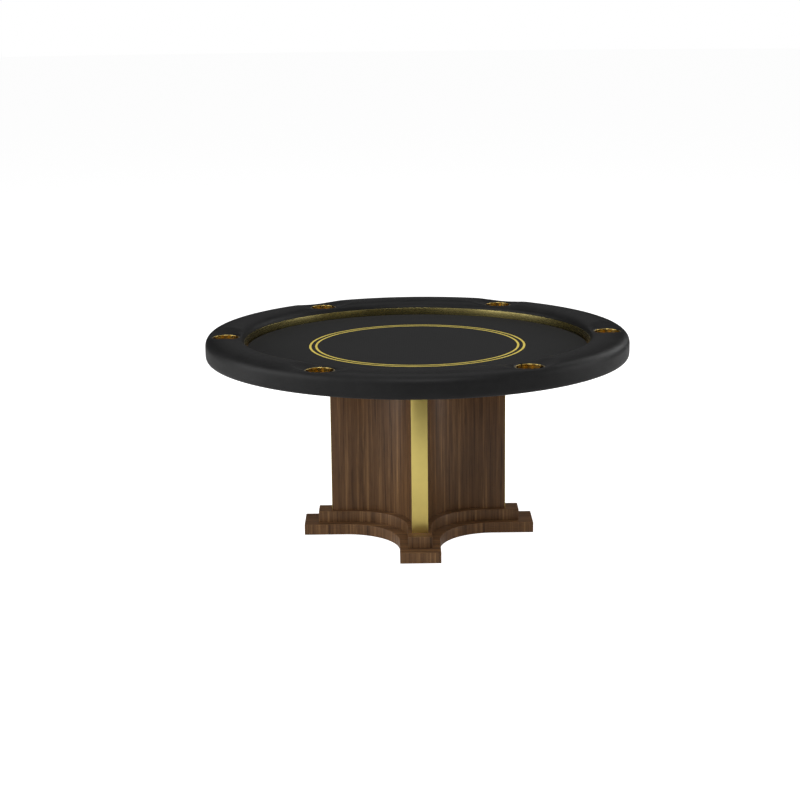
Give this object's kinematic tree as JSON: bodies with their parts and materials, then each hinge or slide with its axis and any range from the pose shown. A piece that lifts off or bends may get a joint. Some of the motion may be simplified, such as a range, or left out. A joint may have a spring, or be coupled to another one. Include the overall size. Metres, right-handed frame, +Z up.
{
  "type": "gaming table",
  "caption": "Round card table: padded rail with drop-in brass cup holders round a sunken cloth field with gold rings, on a cross-shaped walnut pedestal with brass strips.",
  "frame": {"origin": "on the floor under the table's centre", "axes": "+Z up; the pedestal's four arms lie along +X, +Y, -X and -Y; -Y is the side seen in the picture"},
  "size_m": [1.5238, 1.5238, 0.749],
  "materials": {
    "walnut": "satin lacquered veneer with a straight upright grain",
    "plywood": "sealed birch plywood",
    "hardwood": "planed beech",
    "satin_brass": "satin, lightly brushed",
    "polished_brass": "polished spun brass",
    "gold_print": "gold heat-pressed foil on cloth",
    "black_vinyl": "matt grained vinyl",
    "foam": "open-cell foam",
    "charcoal_cloth": "smooth woven speed cloth",
    "zinc_steel": "zinc plated",
    "foot_nylon": "moulded nylon"
  },
  "bodies": {
    "table": {"lower_plinth": "walnut", "upper_plinth": "walnut", "column_panel_back_right": "walnut", "column_panel_back_left": "walnut", "column_panel_front_left": "walnut", "column_panel_front_right": "walnut", "column_foot_plate": "plywood", "column_head_plate": "plywood", "deck": "plywood", "rail_ring_lower": "plywood", "rail_ring_upper": "plywood", "playing_board": "plywood", "plinth_dowels": "hardwood", "long_batten": "hardwood", "cross_batten": "hardwood", "column_post_right": "hardwood", "column_post_back": "hardwood", "column_post_left": "hardwood", "column_post_front": "hardwood", "brass_band": "satin_brass", "brass_strip_right": "satin_brass", "brass_strip_back": "satin_brass", "brass_strip_left": "satin_brass", "brass_strip_front": "satin_brass", "gold_line_outer": "gold_print", "gold_line_inner": "gold_print", "rail_cover": "black_vinyl", "rail_foam": "foam", "field_foam": "foam", "field_cloth": "charcoal_cloth", "foot_inserts": "zinc_steel", "tie_rods": "zinc_steel", "tie_rod_nuts": "zinc_steel", "tie_rod_washers": "zinc_steel", "batten_screws": "zinc_steel", "rail_screws": "zinc_steel", "field_screws": "zinc_steel"},
    "cup_1": {"cup_holder_1": "polished_brass"},
    "cup_2": {"cup_holder_2": "polished_brass"},
    "cup_3": {"cup_holder_3": "polished_brass"},
    "cup_4": {"cup_holder_4": "polished_brass"},
    "cup_5": {"cup_holder_5": "polished_brass"},
    "cup_6": {"cup_holder_6": "polished_brass"},
    "foot_right": {"foot_pad_right": "foot_nylon", "foot_stem_right": "zinc_steel"},
    "foot_back": {"foot_pad_back": "foot_nylon", "foot_stem_back": "zinc_steel"},
    "foot_left": {"foot_pad_left": "foot_nylon", "foot_stem_left": "zinc_steel"},
    "foot_front": {"foot_pad_front": "foot_nylon", "foot_stem_front": "zinc_steel"}
  },
  "joints": [
    {"name": "cup_1_lift", "type": "slide", "parent": "table", "child": "cup_1", "axis": [0, 0, 1], "range_m": [0, 0.08]},
    {"name": "cup_2_lift", "type": "slide", "parent": "table", "child": "cup_2", "axis": [0, 0, 1], "range_m": [0, 0.08]},
    {"name": "cup_3_lift", "type": "slide", "parent": "table", "child": "cup_3", "axis": [0, 0, 1], "range_m": [0, 0.08]},
    {"name": "cup_4_lift", "type": "slide", "parent": "table", "child": "cup_4", "axis": [0, 0, 1], "range_m": [0, 0.08]},
    {"name": "cup_5_lift", "type": "slide", "parent": "table", "child": "cup_5", "axis": [0, 0, 1], "range_m": [0, 0.08]},
    {"name": "cup_6_lift", "type": "slide", "parent": "table", "child": "cup_6", "axis": [0, 0, 1], "range_m": [0, 0.08]},
    {"name": "foot_right_height", "type": "slide", "parent": "table", "child": "foot_right", "axis": [0, 0, -1], "range_m": [0, 0.012]},
    {"name": "foot_back_height", "type": "slide", "parent": "table", "child": "foot_back", "axis": [0, 0, -1], "range_m": [0, 0.012]},
    {"name": "foot_left_height", "type": "slide", "parent": "table", "child": "foot_left", "axis": [0, 0, -1], "range_m": [0, 0.012]},
    {"name": "foot_front_height", "type": "slide", "parent": "table", "child": "foot_front", "axis": [0, 0, -1], "range_m": [0, 0.012]}
  ]
}
